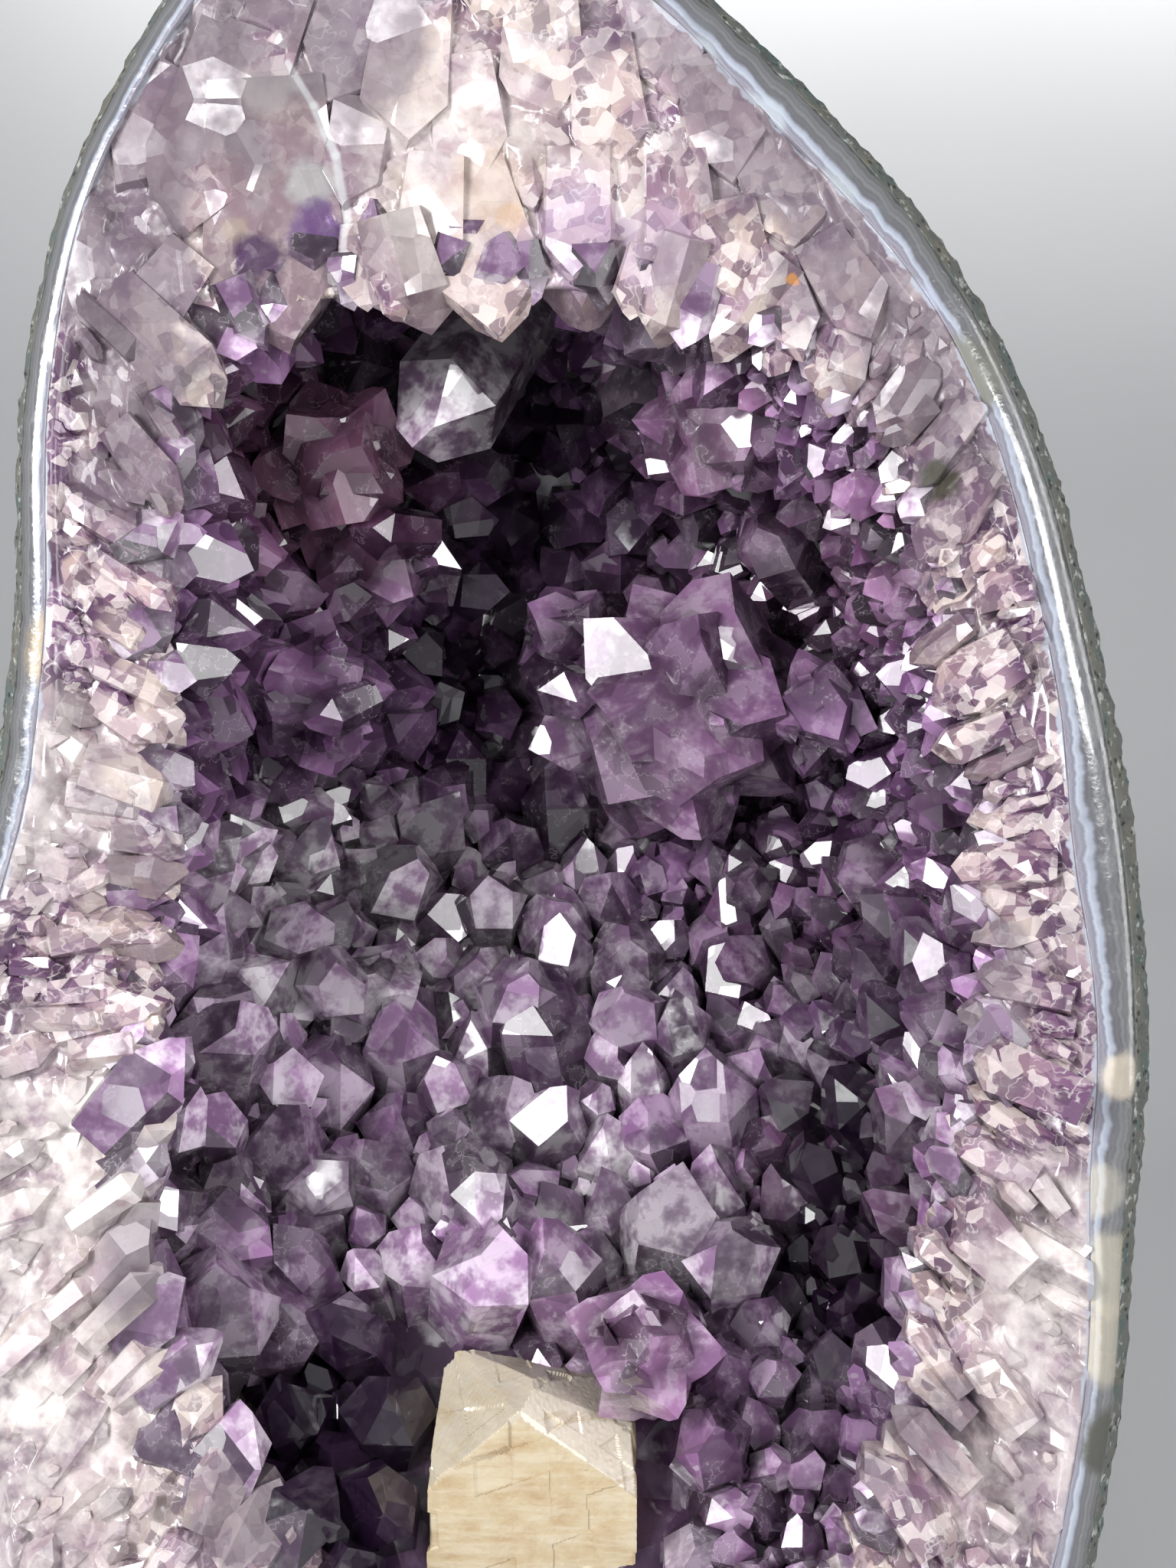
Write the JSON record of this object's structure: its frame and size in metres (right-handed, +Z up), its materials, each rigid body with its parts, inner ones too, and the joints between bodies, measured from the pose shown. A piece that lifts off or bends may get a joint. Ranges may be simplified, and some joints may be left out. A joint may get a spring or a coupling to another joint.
{
  "type": "amethyst cathedral geode",
  "caption": "Arched half of a hollow basalt nodule that stands on a sawn base, with a grey agate rim and a hollow lined with amethyst points and a calcite crystal.",
  "frame": {"origin": "on the surface it stands on, under the middle of its bounding box", "axes": "+Z up along the arch, the cut face with the hollow towards -Y and leaning back 6 degrees, +X to the right seen from the front"},
  "size_m": [0.2258, 0.1678, 0.3488],
  "materials": {
    "basalt": "rough dark grey-green basalt skin with small pits",
    "agate": "polished, banded, slightly clear grey agate",
    "amethyst": "clear to milky purple quartz, bright flat crystal faces, polished where cut",
    "calcite": "cream, half clear, with smooth cleavage faces"
  },
  "bodies": {
    "root": {"basalt_rind": "basalt", "agate_band": "agate", "amethyst_crust": "amethyst", "calcite_crystal": "calcite"}
  },
  "joints": []
}
